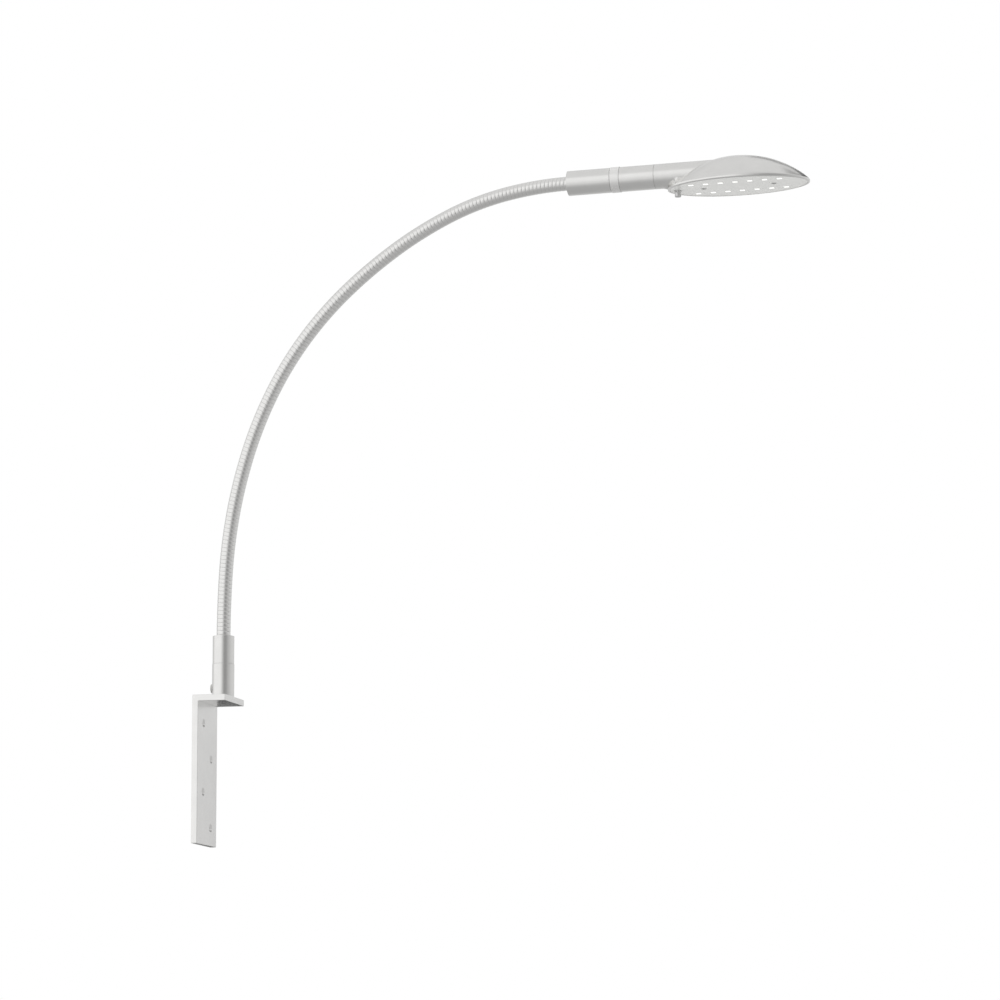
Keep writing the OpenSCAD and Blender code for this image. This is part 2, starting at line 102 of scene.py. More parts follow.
def extrudePath(name, path):
    # one point, drawn out along the path of (radius, height)
    freshStart()
    bpy.ops.mesh.primitive_plane_add(size=mm, location=(0, 0, 0))
    piece = bpy.context.object
    piece.name = name
    bpy.ops.object.mode_set(mode="EDIT")
    bpy.ops.mesh.select_mode(type="VERT")
    bpy.ops.mesh.select_all(action="SELECT")
    bpy.ops.mesh.merge(type="CENTER")
    bpy.ops.transform.translate(value=(path[0][0] * mm, 0, path[0][1] * mm))
    for here, there in zip(path, path[1:]):
        step = ((there[0] - here[0]) * mm, 0, (there[1] - here[1]) * mm)
        bpy.ops.mesh.extrude_region_move(TRANSFORM_OT_translate={"value": step})
    return piece


def turnOutline(name, outline, steps=96):
    # a closed outline spun about the z axis, as on a lathe
    piece = extrudePath(name, outline + outline[:1])
    bpy.ops.mesh.select_all(action="SELECT")
    bpy.ops.mesh.remove_doubles(threshold=sameSpot)
    bpy.ops.mesh.spin(steps=steps, angle=2 * math.pi, center=(0, 0, 0), axis=(0, 0, 1))
    bpy.ops.object.mode_set(mode="OBJECT")
    tidyMesh(piece)
    return piece


def drillBit(radius, low, high, tipRadius=None, sides=64):
    # a cylinder or cone along z, from low to high
    freshStart()
    bpy.ops.mesh.primitive_cone_add(vertices=sides, radius1=radius * mm, radius2=(tipRadius or radius) * mm,
                                    depth=(high - low) * mm, location=(0, 0, (low + high) / 2 * mm))
    piece = bpy.context.object
    bpy.ops.object.transform_apply(location=True, rotation=True, scale=True)
    return piece


def settle(piece, finish, nodes, body=None, angle=35, flatFaces=True):
    pickOnly(piece)
    bpy.ops.object.shade_smooth_by_angle(angle=math.radians(angle))
    if flatFaces:
        # the large faces keep their own normals beside a softened edge
        useModifier(piece, "WEIGHTED_NORMAL", keep_sharp=True, mode="FACE_AREA")
    piece.data.materials.clear()
    piece.data.materials.append(finish)
    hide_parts(*nodes)
    if body:
        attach(piece, body)
    return piece


# Where things are, in the frame's own axes

arm = {
    "foot": (21, 0, 128.1),  # where the hose leaves the base tube
    "headToRim": (163.3, 0, -15.4),  # from the arm's end to the middle of the dome's rim
    "socketFoot": (21, 0, 70),
    "linkLength": 60.25,
    "bends": [3.3, 7.25, 7.6, 9.25, 10.4, 10.25, 7.8, 9.25, 13.2, 10.3],  # degrees, one for each stretch
}


def armPlace(s):
    # point on the arm's centre line and its lean from upright, s millimetres up the arm
    point, lean, left = Vector(arm["foot"]), 0.0, s
    if s < 0:
        return point + Vector((0, 0, s)), 0.0
    for bend in arm["bends"]:
        run = min(left, arm["linkLength"])
        turn = math.radians(bend)
        radius = arm["linkLength"] / turn
        part = turn * run / arm["linkLength"]
        step = Vector((radius * (1 - math.cos(part)), 0, radius * math.sin(part)))
        point = point + Matrix.Rotation(lean, 3, "Y") @ step
        lean += part
        left -= run
        if left <= 0:
            return point, lean
    return point + Vector((math.sin(lean), 0, math.cos(lean))) * left, lean


armLength = arm["linkLength"] * len(arm["bends"])
armEnd, endLean = armPlace(armLength)
atBase = Matrix.Translation(Vector(arm["socketFoot"]) * mm)
atHead = Matrix.Translation(armEnd * mm) @ Matrix.Rotation(endLean - math.pi / 2, 4, "Y")
atRim = atHead @ Matrix.Translation(Vector(arm["headToRim"]) * mm)
alongHead = atHead @ Matrix.Rotation(math.pi / 2, 4, "Y")  # z of a turned piece runs along the head


# Finishes

def newFinish(name, roughness, metallic=0.0, **settings):
    finish = bpy.data.materials.new(name)
    finish.use_nodes = True
    shader = finish.node_tree.nodes["Principled BSDF"]
    shader.inputs["Roughness"].default_value = roughness
    shader.inputs["Metallic"].default_value = metallic
    for key, value in settings.items():
        shader.inputs[key].default_value = value
    return finish, finish.node_tree, shader


def addPattern(tree, scale, stretch=(1, 1, 1), detail=3.0, turn=(0, 0, 0)):
    # noise in the piece's own millimetres
    coordinate = tree.nodes.new("ShaderNodeTexCoord")
    mapping = tree.nodes.new("ShaderNodeMapping")
    mapping.inputs["Scale"].default_value = [1000 * one for one in stretch]
    mapping.inputs["Rotation"].default_value = turn
    noise = tree.nodes.new("ShaderNodeTexNoise")
    noise.inputs["Scale"].default_value = scale
    noise.inputs["Detail"].default_value = detail
    tree.links.new(coordinate.outputs["Object"], mapping.inputs["Vector"])
    tree.links.new(mapping.outputs["Vector"], noise.inputs["Vector"])
    return noise.outputs["Fac"]


def addRamp(tree, source, low, high, start=0.35, end=0.65):
    # low and high are colours or plain numbers
    ramp = tree.nodes.new("ShaderNodeValToRGB")
    ramp.color_ramp.elements[0].position, ramp.color_ramp.elements[1].position = start, end
    for element, value in zip(ramp.color_ramp.elements, (low, high)):
        element.color = (*value, 1) if isinstance(value, tuple) else (value, value, value, 1)
    tree.links.new(source, ramp.inputs["Fac"])
    return ramp.outputs["Color"]


def addBump(tree, shader, source, depth, distance=0.02):
    bump = tree.nodes.new("ShaderNodeBump")
    bump.inputs["Strength"].default_value = depth
    bump.inputs["Distance"].default_value = distance * mm
    tree.links.new(source, bump.inputs["Height"])
    tree.links.new(bump.outputs["Normal"], shader.inputs["Normal"])


def metalFinish(name, colour, roughness, grain=(1, 1, 1), grainScale=2.0, spread=0.03, shade=0.03,
                bump=0.15, metallic=1.0):
    finish, tree, shader = newFinish(name, roughness, metallic)
    darker = tuple(one * (1 - shade) for one in colour)
    tree.links.new(addRamp(tree, addPattern(tree, 0.08, detail=4), darker, colour), shader.inputs["Base Color"])
    fine = addPattern(tree, grainScale, grain)
    tree.links.new(addRamp(tree, fine, roughness - spread, roughness + spread), shader.inputs["Roughness"])
    addBump(tree, shader, fine, bump)
    return finish


def plainFinish(name, colour, roughness, grainScale=3.0, shade=0.06, bump=0.3):
    finish, tree, shader = newFinish(name, roughness)
    darker = tuple(one * (1 - shade) for one in colour)
    tree.links.new(addRamp(tree, addPattern(tree, 0.15, detail=4), darker, colour), shader.inputs["Base Color"])
    fine = addPattern(tree, grainScale)
    tree.links.new(addRamp(tree, fine, roughness - 0.04, roughness + 0.04), shader.inputs["Roughness"])
    addBump(tree, shader, fine, bump)
    return finish


satinColour = (0.83, 0.825, 0.812)
barFinish = metalFinish("satinBar", (0.885, 0.88, 0.868), 0.26, grain=(1, 1, 6))
tubeFinish = metalFinish("satinTube", satinColour, 0.22)
ringFinish = metalFinish("mattRing", (0.81, 0.805, 0.795), 0.30, metallic=0.75)
castFinish = metalFinish("satinCasting", satinColour, 0.24, grainScale=1.2)
chromeFinish = metalFinish("chromedButton", (0.60, 0.60, 0.60), 0.06, spread=0.02, shade=0.01, bump=0.05)
steelFinish = metalFinish("brightSteel", (0.62, 0.62, 0.61), 0.32)
springFinish = metalFinish("springSteel", (0.42, 0.42, 0.42), 0.35)
brassFinish = metalFinish("turnedBrass", (0.78, 0.58, 0.30), 0.30)
platePaint = plainFinish("platePaint", (0.775, 0.775, 0.76), 0.12, shade=0.01, bump=0.01)
boardWhite = plainFinish("whiteBoard", (0.80, 0.80, 0.78), 0.4)
boardGreen = plainFinish("greenBoard", (0.03, 0.22, 0.09), 0.35)
whitePlastic = plainFinish("whitePlastic", (0.78, 0.77, 0.74), 0.4)
blackPlastic = plainFinish("blackPlastic", (0.03, 0.03, 0.03), 0.42)
bushPlastic = plainFinish("bushPlastic", (0.56, 0.555, 0.54), 0.4)
leadSheath = plainFinish("leadSheath", (0.72, 0.71, 0.68), 0.5)
coreSheath = plainFinish("coreSheath", (0.05, 0.05, 0.06), 0.45)


def makeHoseFinish():
    finish, tree, shader = newFinish("ribbedHose", 0.26, metallic=1.0)
    # painted shade: the hollows between the ribs are coloured darker, the deeper a point lies
    groove = tree.nodes.new("ShaderNodeAttribute")
    groove.attribute_name = "groove"
    colour = addRamp(tree, groove.outputs["Fac"], satinColour, (0.66, 0.655, 0.645), 0.4, 1.0)
    tree.links.new(colour, shader.inputs["Base Color"])
    fine = addPattern(tree, 2.5)
    tree.links.new(addRamp(tree, fine, 0.19, 0.25), shader.inputs["Roughness"])
    addBump(tree, shader, fine, 0.2)
    return finish


hoseFinish = makeHoseFinish()


def makeDiodeFinish():
    # the lens glows a little inside its dull frame
    finish, tree, shader = newFinish("diodeLens", 0.3)
    lens = tree.nodes.new("ShaderNodeAttribute")
    lens.attribute_name = "lens"
    tint = addRamp(tree, addPattern(tree, 0.9), (0.93, 0.93, 0.90), (0.98, 0.98, 0.96))
    both = tree.nodes.new("ShaderNodeMix")
    both.data_type = "RGBA"
    both.inputs["A"].default_value = (0.86, 0.86, 0.84, 1)
    tree.links.new(lens.outputs["Fac"], both.inputs["Factor"])
    tree.links.new(tint, both.inputs["B"])
    tree.links.new(both.outputs["Result"], shader.inputs["Base Color"])
    tree.links.new(tint, shader.inputs["Emission Color"])
    glow = tree.nodes.new("ShaderNodeMath")
    glow.operation = "MULTIPLY"
    glow.inputs[1].default_value = 0.6
    tree.links.new(lens.outputs["Fac"], glow.inputs[0])
    tree.links.new(glow.outputs["Value"], shader.inputs["Emission Strength"])
    return finish


diodeFinish = makeDiodeFinish()
print("finishes ready")


# Bracket: flat bar, bent once, with four countersunk holes

bracket = {
    "width": 60, "thick": 6, "low": -70, "high": 70, "reach": 32.5,
    "edge": 0.5, "corner": 1.0,
    "holeRadius": 2.3, "sinkRadius": 4.0,
    "holes": [(12, -53), (-12, -20.5), (12, 12), (-12, 44.5)],  # y, z
    "screwX": 21, "screwHole": 2.6, "screwSink": 5.0,
    "drillFrom": -2, "drillTo": 10, "over": 1,  # how far the drills go past the bar
}


def makeBracket():
    b = bracket
    freshStart()
    underLeg = b["high"] - b["thick"]
    tall = underLeg - b["low"]
    bpy.ops.mesh.primitive_cube_add(size=1, location=(b["thick"] / 2 * mm, 0, (b["low"] + tall / 2) * mm),
                                    scale=(b["thick"] * mm, b["width"] * mm, tall * mm))
    piece = bpy.context.object
    piece.name = "wallBracket"
    bpy.ops.object.transform_apply(location=True, rotation=True, scale=True)
    bpy.ops.object.mode_set(mode="EDIT")
    selectFaces(piece, lambda face: face.normal.z > 0.9)
    bpy.ops.mesh.extrude_region_move(TRANSFORM_OT_translate={"value": (0, 0, b["thick"] * mm)})
    selectFaces(piece, lambda face: face.normal.x > 0.9 and face.calc_center_median().z > underLeg * mm)
    bpy.ops.mesh.extrude_region_move(TRANSFORM_OT_translate={"value": ((b["reach"] - b["thick"]) * mm, 0, 0)})
    bpy.ops.object.mode_set(mode="OBJECT")
    softenEdges(piece, b["edge"])
    cutters = []
    for y, z in b["holes"]:
        side = Matrix.Translation(Vector((0, y, z)) * mm) @ Matrix.Rotation(math.pi / 2, 4, "Y")
        cutters.append(moveTo(drillBit(b["holeRadius"], b["drillFrom"], b["drillTo"]), side))
        sinkFrom = b["thick"] - (b["sinkRadius"] - b["holeRadius"])
        sink = drillBit(b["holeRadius"], sinkFrom, b["thick"] + b["over"], b["sinkRadius"] + b["over"])
        cutters.append(moveTo(sink, side))
    under = Matrix.Translation(Vector((b["screwX"], 0, underLeg)) * mm)
    cutters.append(moveTo(drillBit(b["screwHole"], b["drillFrom"], b["drillTo"]), under))
    sinkTo = b["screwSink"] - b["screwHole"]
    cutters.append(moveTo(drillBit(b["screwSink"] + b["over"], -b["over"], sinkTo, b["screwHole"]), under))
    cutWith(piece, cutters)
    settle(piece, barFinish, ["bracket"], "wall_bracket")


def selectFaces(piece, wanted):
    bpy.ops.mesh.select_mode(type="FACE")
    bpy.ops.mesh.select_all(action="DESELECT")
    mesh = bmesh.from_edit_mesh(piece.data)
    for face in mesh.faces:
        face.select_set(wanted(face))
    bmesh.update_edit_mesh(piece.data)


makeBracket()
print("bracket done")


# Base tube: a fixed socket with the cable bush, and the sleeve that turns on it

baseTube = {
    "socketRadius": 10.5, "socketHeight": 31.5, "wall": 1.8, "shoulder": 7, "spindleRadius": 5,
    "sleeveRadius": 10.25, "sleeveLow": 31.56, "sleeveHigh": 58.1, "ferruleDepth": 15.1,
    "edge": 0.18,
    "bushHeight": 8.4, "bushRadius": 4.3, "bushOut": 1.1, "bushBore": 2.7, "bushEdge": 0.3,
    "neckThinner": 0.7, "neckPlay": 0.05, "neckDeep": 2.2, "collarDeep": 0.9,  # the bush in the socket's wall
    "collarWide": 3.7, "collarReach": 4, "rodPlay": 0.05, "rodHalf": 12,  # what trims the bush's collar
}


def makeBaseTubes():
    b = baseTube
    bore = b["socketRadius"] - b["wall"]
    socket = turnOutline("baseSocket", [
        (bore, 0), (b["socketRadius"], 0), (b["socketRadius"], b["socketHeight"]),
        (b["spindleRadius"], b["socketHeight"]), (b["spindleRadius"], b["socketHeight"] - b["shoulder"]),
        (bore, b["socketHeight"] - b["shoulder"])])
    softenEdges(socket, b["edge"])
    sideways = Matrix.Translation((0, 0, b["bushHeight"] * mm)) @ Matrix.Rotation(-math.pi / 2, 4, "Y")
    bushNeck = b["bushRadius"] - b["neckThinner"]
    bushHole = bushNeck + b["neckPlay"]
    cutWith(socket, [moveTo(drillBit(bushHole, 2, b["socketRadius"] + 2), sideways)])
    settle(moveTo(socket, atBase), tubeFinish, ["base_socket"], "wall_bracket")

    sleeveBore = b["sleeveRadius"] - b["wall"]
    floorZ = b["sleeveHigh"] - b["ferruleDepth"]
    sleeve = turnOutline("baseSleeve", [
        (b["spindleRadius"], b["sleeveLow"]), (b["sleeveRadius"], b["sleeveLow"]),
        (b["sleeveRadius"], b["sleeveHigh"]), (sleeveBore, b["sleeveHigh"]), (sleeveBore, floorZ),
        (b["spindleRadius"], floorZ)])
    softenEdges(sleeve, b["edge"])
    settle(moveTo(sleeve, atBase), tubeFinish, ["base_sleeve"], "arm_1")

    neckEnd, collar = b["socketRadius"] - b["neckDeep"], b["socketRadius"] - b["collarDeep"]
    reach = b["socketRadius"] + b["bushOut"]
    bush = turnOutline("cableBush", [
        (b["bushBore"], neckEnd), (bushNeck, neckEnd), (bushNeck, collar), (b["bushRadius"], collar),
        (b["bushRadius"], reach), (b["bushBore"], reach)], 64)
    softenEdges(bush, b["bushEdge"])
    cutWith(bush, [makeCollarCutter(bushNeck)])
    settle(moveTo(bush, atBase @ sideways), bushPlastic, ["cable_bush"], "wall_bracket")


def makeCollarCutter(bushNeck):
    # the bush's collar sits on the round socket: what is inside the socket's wall goes
    b = baseTube
    wide, deep = bushNeck + b["collarWide"], b["collarReach"]
    collar = turnOutline("cutter", [(bushNeck, -deep), (wide, -deep), (wide, deep), (bushNeck, deep)], 64)
    rod = drillBit(b["socketRadius"] + b["rodPlay"], -b["rodHalf"], b["rodHalf"], sides=96)
    moveTo(rod, Matrix.Rotation(math.pi / 2, 4, "Y"))
    moveTo(collar, Matrix.Translation((0, 0, (b["socketRadius"] - b["neckDeep"]) * mm)))
    useModifier(collar, "BOOLEAN", operation="INTERSECT", object=rod, solver="EXACT")
    bpy.data.objects.remove(rod, do_unlink=True)
    return collar


makeBaseTubes()
print("base done")


# Ribbed hose: one thread of ribs, turned as a screw, cut in stretches that follow the arm

hose = {
    "radius": 6.625, "ribDepth": 0.2, "bore": 3.2, "turns": 16, "sides": 48,
    "crest": 4.0,  # how flat a rib is
    "stations": [0.0, 0.035, 0.08, 0.15, 0.27, 0.5, 0.73, 0.85, 0.92, 0.965, 1.0],
    "insert": 13.0, "hand": -1,
    "still": 1.2,  # distance from a seam to the two places found beside it
}
lead = {"radius": 2.6, "sides": 24, "cuts": 16}
pitch = arm["linkLength"] / hose["turns"]
rootRadius = hose["radius"] - hose["ribDepth"]


def ribRadius(share):
    return hose["radius"] - hose["ribDepth"] * abs(2 * share - 1) ** hose["crest"]


def markBoundary(piece):
    bpy.ops.mesh.select_mode(type="EDGE")
    bpy.ops.mesh.select_all(action="DESELECT")
    mesh = bmesh.from_edit_mesh(piece.data)
    for edge in mesh.edges:
        edge.select_set(edge.is_boundary)
    bmesh.update_edit_mesh(piece.data)


def moveSelected(piece, change):
    mesh = bmesh.from_edit_mesh(piece.data)
    for vert in mesh.verts:
        if vert.select:
            vert.co = change(vert.co)
    bmesh.update_edit_mesh(piece.data)


def onRadius(co, radius):
    flat = Vector((co.x, co.y, 0)).normalized() * radius
    return Vector((flat.x, flat.y, co.z))


def makeRibs(name, first, turns, plainBelow=None, plainAbove=None):
    # straight stretch along z from first, with its grooves where the neighbours meet
    piece = extrudePath(name, [(ribRadius(share), first + share * pitch) for share in hose["stations"]])
    bpy.ops.object.mode_set(mode="OBJECT")
    useModifier(piece, "SCREW", axis="Z", angle=hose["hand"] * 2 * math.pi, screw_offset=pitch * mm,
                iterations=turns, steps=hose["sides"], render_steps=hose["sides"], use_merge_vertices=True)
    tidyMesh(piece)
    bpy.ops.object.mode_set(mode="EDIT")
    for level, clearUpper in ((plainBelow, False), (plainAbove, True)):
        if level is not None:
            # a plain end slips into its ferrule
            tip = level + (hose["insert"] if clearUpper else -hose["insert"])
            bpy.ops.mesh.select_all(action="SELECT")
            bpy.ops.mesh.bisect(plane_co=(0, 0, tip * mm), plane_no=(0, 0, 1), clear_inner=not clearUpper,
                                clear_outer=clearUpper)
            beyond = (lambda z: z > level * mm) if clearUpper else (lambda z: z < level * mm)
            mesh = bmesh.from_edit_mesh(piece.data)
            for vert in mesh.verts:
                if beyond(vert.co.z):
                    vert.co = onRadius(vert.co, rootRadius * mm)
            bmesh.update_edit_mesh(piece.data)
    markBoundary(piece)
    bpy.ops.mesh.extrude_region_move(TRANSFORM_OT_translate={"value": (0, 0, 0)})
    moveSelected(piece, lambda co: onRadius(co, hose["bore"] * mm))
    bpy.ops.mesh.bridge_edge_loops(number_cuts=turns * 2)
    bpy.ops.object.mode_set(mode="OBJECT")
    tidyMesh(piece)
    return piece


def markGrooveShade(piece):
    # how deep each point lies in a groove, which sets the painted shade between the ribs
    groove = piece.data.attributes.new("groove", "FLOAT", "POINT")
    for vert, value in zip(piece.data.vertices, groove.data):
        radius = math.hypot(vert.co.x, vert.co.y) / mm
        value.value = min(1, max(0, (hose["radius"] - radius) / hose["ribDepth"]))


def bendAlongArm(piece):
    for vert in piece.data.vertices:
        point, lean = armPlace(vert.co.z / mm)
        side = Matrix.Rotation(lean, 3, "Y") @ Vector((vert.co.x, vert.co.y, 0))
        vert.co = point * mm + side


def makeArm():
    links = len(arm["bends"])
    length = arm["linkLength"]
    for k in range(links + 1):
        start = (k - 0.5) * length
        if k == 0:
            turns = math.ceil((length / 2 + hose["insert"]) / pitch) + 1
            piece = makeRibs("ribbedHose0", length / 2 - turns * pitch, turns, plainBelow=0.0)
        elif k == links:
            turns = math.ceil((length / 2 + hose["insert"]) / pitch) + 1
            piece = makeRibs("ribbedHose%d" % k, start, turns, plainAbove=armLength)
        else:
            piece = makeRibs("ribbedHose%d" % k, start, hose["turns"])
        markGrooveShade(piece)
        bendAlongArm(piece)
        core = makeLead("armLead%d" % k, max(0.0, start), min(armLength, start + length))
        joined = [i for i in (k, k + 1) if 1 <= i <= links]
        body = "arm_%d" % joined[0] if len(joined) == 1 else None
        settle(piece, hoseFinish, ["hose_%d" % i for i in joined], body, flatFaces=False)
        settle(core, leadSheath, ["lead_%d" % i for i in joined], body)
        if not body:
            nearSeam = armPlace(start + pitch + hose["still"])[0] * mm
            farSeam = armPlace(start + length - hose["still"])[0] * mm
            for part in (piece, core):
                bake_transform(part)


def makeLead(name, low, high):
    radius, middle = lead["radius"], 0.01
    core = turnOutline(name, [(middle, 0), (radius, 0), (radius, 1), (middle, 1)], lead["sides"])
    core.matrix_world = Matrix.Diagonal((1, 1, high - low, 1))
    pickOnly(core)
    bpy.ops.object.transform_apply(location=True, rotation=True, scale=True)
    moveTo(core, Matrix.Translation((0, 0, low * mm)))
    bpy.ops.object.mode_set(mode="EDIT")
    bpy.ops.mesh.select_mode(type="EDGE")
    for cut in range(1, lead["cuts"]):
        level = low + (high - low) * cut / lead["cuts"]
        bpy.ops.mesh.select_all(action="SELECT")
        bpy.ops.mesh.bisect(plane_co=(0, 0, level * mm), plane_no=(0, 0, 1))
    bpy.ops.object.mode_set(mode="OBJECT")
    bendAlongArm(core)
    return core


makeArm()
print("arm done")


# Head tubes

headTube = {
    "radius": 11.75, "wall": 2.0, "sleeve": 41.7, "shoulder": 7, "spindleRadius": 5,
    "ringLow": 42.0, "ringHigh": 50.6, "ringRadius": 12.15, "ringBore": 5.05,
    "low": 50.7, "high": 84.1, "web": 9, "edge": 0.18,
}


def makeHeadTubes():
    h = headTube
    bore = h["radius"] - h["wall"]
    sleeve = turnOutline("headSleeve", [
        (bore, 0), (h["radius"], 0), (h["radius"], h["sleeve"]), (h["spindleRadius"], h["sleeve"]),
        (h["spindleRadius"], h["sleeve"] - h["shoulder"]), (bore, h["sleeve"] - h["shoulder"])])
    softenEdges(sleeve, h["edge"])
    settle(moveTo(sleeve, alongHead), tubeFinish, ["head_sleeve"], "arm_10")
    ring = turnOutline("swivelRing", [
        (h["ringBore"], h["ringLow"]), (h["ringRadius"], h["ringLow"]),
        (h["ringRadius"], h["ringHigh"]), (h["ringBore"], h["ringHigh"])])
    softenEdges(ring, h["edge"])
    settle(moveTo(ring, alongHead), ringFinish, ["swivel_ring"], "lamp_head")
    tube = turnOutline("headTube", [
        (h["spindleRadius"], h["low"]), (h["radius"], h["low"]), (h["radius"], h["high"]),
        (bore, h["high"]),
        (bore, h["low"] + h["web"]), (h["spindleRadius"], h["low"] + h["web"])])
    softenEdges(tube, h["edge"])
    settle(moveTo(tube, alongHead), tubeFinish, ["head_tube"], "lamp_head")


makeHeadTubes()
print("head tubes done")


# Lamp housing: a round neck that runs into an oval dome, cast in one

housing = {
    "halfLength": 67.3, "halfWidth": 40.5, "height": 28.45, "wall": 2.2, "lip": 2.2, "lipEdge": 1.4,
    "round": 0.97, "lean": -0.24, "swell": 0.17,  # how the roof falls off, by direction
    "full": 2.33, "taper": -0.22,  # how full the roof is, by direction
    "neckRadius": 11.8, "neckBore": 7.5, "neckStart": -79.1, "neckInside": -10.1, "axisHeight": 15.4,
    "spigot": 8, "neckEdge": 0.2,
    "neckPlaces": [-78, -77, -76, -75, -74, -73, -72, -71.3, -70.6, -70, -69.4, -68.9, -68.4, -68, -67.65],
    "domeSteps": 150, "cavitySteps": 90,
    "creaseTurn": -24.5,  # degrees: below it the neck runs smoothly into the dome
    "creaseSearch": (-66, -30),
    "tipSink": 1.4, "tipFrom": -73.0,  # the neck's underside comes down to the lip
    "handleShare": 0.4, "flareTurn": 155, "flareReach": 22, "blendRun": 9,  # how the lip leaves the neck
    "spigotRadius": 9.7, "seat": 2.1, "over": 1,
    "bossRadius": 3.2, "bossLow": 3.75, "bossBore": 1.3, "bossDeep": 9,
    "bosses": [(-33.4, 25.0), (33.4, 21.5)],  # x and top
    "pocketX": -58.2, "pocketRadius": 4.5, "pocketLow": 0.8, "pocketHigh": 9.2,
    "rows": {"bottom": 6, "corner": 6, "lip": 3, "flank": 28, "upper": 26},
}


def smoothStep(value):
    value = min(1.0, max(0.0, value))
    return value * value * (3 - 2 * value)


def roofHeight(x, y, inset=0.0):
    h = housing
    along, across = x / (h["halfLength"] - inset), y / (h["halfWidth"] - inset)
    out, turn = math.hypot(along, across), math.atan2(across, along)
    if out >= 1:
        return h["lip"]
    power = h["round"] + h["lean"] * math.cos(turn) + h["swell"] * math.cos(2 * turn)
    fullness = h["full"] + h["taper"] * math.cos(turn)
    return h["lip"] + (h["height"] - inset - h["lip"]) * (1 - out ** fullness) ** power


def halve(low, high, test, steps=40):
    # the value between low and high where the test turns true
    for _ in range(steps):
        middle = (low + high) / 2
        low, high = (low, middle) if test(middle) else (middle, high)
    return (low + high) / 2


def onNeck(turn):
    h = housing
    return Vector((h["neckRadius"] * math.cos(turn), h["axisHeight"] + h["neckRadius"] * math.sin(turn)))


creaseTurn = math.radians(housing["creaseTurn"])
creaseStart = onNeck(creaseTurn)
creaseFrom = halve(*housing["creaseSearch"], lambda x: roofHeight(x, creaseStart.x) > creaseStart.y)


def bezier(start, first, second, end, part):
    rest = 1 - part
    return start * rest ** 3 + first * 3 * rest ** 2 * part + second * 3 * rest * part ** 2 + end * part ** 3


def underNeck(turn, sink):
    # the neck's underside, which comes down to the lip
    low = max(0.0, (creaseTurn - turn) / (creaseTurn + math.pi / 2))
    return onNeck(turn) - Vector((0, sink * low ** 2))


def flankPoint(x, share, joint, reach, inset):
    # from the lip (share 0) up to the crease or the top (share 1)
    h = housing
    inward = math.pi / 2 + (math.asin(min(1.0, joint.x / reach)) - math.pi / 2) * share if reach else 0.0
    side = reach * math.sin(inward)
    lift = joint - Vector((joint.x, roofHeight(x, joint.x, inset)))
    roof = Vector((side, roofHeight(x, side, inset))) + lift * share ** 2
    weight = smoothStep((x - creaseFrom) / h["blendRun"] + 1) if x < creaseFrom else 1.0
    if weight == 1.0 or inset:
        return roof
    sink = h["tipSink"] * smoothStep((x - h["tipFrom"]) / (-h["halfLength"] - h["tipFrom"]))
    leave = -math.pi / 2 + (creaseTurn + math.pi / 2) * min(1.0, reach / h["flareReach"]) ** 2
    touch = underNeck(leave, sink)
    foot = Vector((reach, h["lip"])) if x > -h["halfLength"] else touch
    chord = (touch - foot).length
    bent = chord / (chord + (creaseTurn - leave) * h["neckRadius"])
    if share >= bent:
        part = (share - bent) / (1 - bent) if bent < 1 else 1
        curve = underNeck(leave + (creaseTurn - leave) * part, sink)
    else:
        part, little = share / bent, 0.01
        out = max(math.radians(h["flareTurn"]), math.atan2(touch.y - foot.y, touch.x - foot.x))
        along = (underNeck(leave + little, sink) - underNeck(leave - little, sink)).normalized()
        handle = chord * h["handleShare"]
        curve = bezier(foot, foot + Vector((math.cos(out), math.sin(out))) * handle, touch - along * handle,
                       touch, part)
    return curve.lerp(roof, weight)


def halfOutline(x, inset=0.0, neck=True):
    # one side of the section at x, from the middle of the bottom to the middle of the top
    h, rows = housing, housing["rows"]
    length, width = h["halfLength"] - inset, h["halfWidth"] - inset
    reach = width * math.sqrt(max(0.0, 1 - (x / length) ** 2))
    turn = math.pi / 2
    joint = Vector((0, roofHeight(x, 0, inset)))
    if neck and x < creaseFrom:
        turn = creaseTurn
    elif neck and x < 0 and joint.y < onNeck(turn).y:
        turn = halve(creaseTurn, turn, lambda one: onNeck(one).y > roofHeight(x, onNeck(one).x))
    if neck and turn < math.pi / 2:
        joint = onNeck(turn)
    flank = [flankPoint(x, i / rows["flank"], joint, reach, inset) for i in range(rows["flank"] + 1)]
    if neck and x <= -length:
        lower = [flank[0]] * (rows["bottom"] + rows["corner"] + rows["lip"])
    else:
        soft = min(h["lipEdge"], reach / 2)
        lower = [Vector(((reach - soft) * i / rows["bottom"], 0)) for i in range(rows["bottom"])]
        for i in range(rows["corner"] + 1):
            angle = math.pi / 2 * i / rows["corner"]
            lower.append(Vector((reach - soft + soft * math.sin(angle), soft - soft * math.cos(angle))))
        lower += [Vector((reach, soft + (h["lip"] - soft) * i / rows["lip"])) for i in range(1, rows["lip"])]
    if turn < math.pi / 2:
        upper = [onNeck(turn + (math.pi / 2 - turn) * i / rows["upper"]) for i in range(1, rows["upper"] + 1)]
    else:
        upper = [joint] * rows["upper"]
    upper[-1] = Vector((0, upper[-1].y))
    return lower + flank + upper


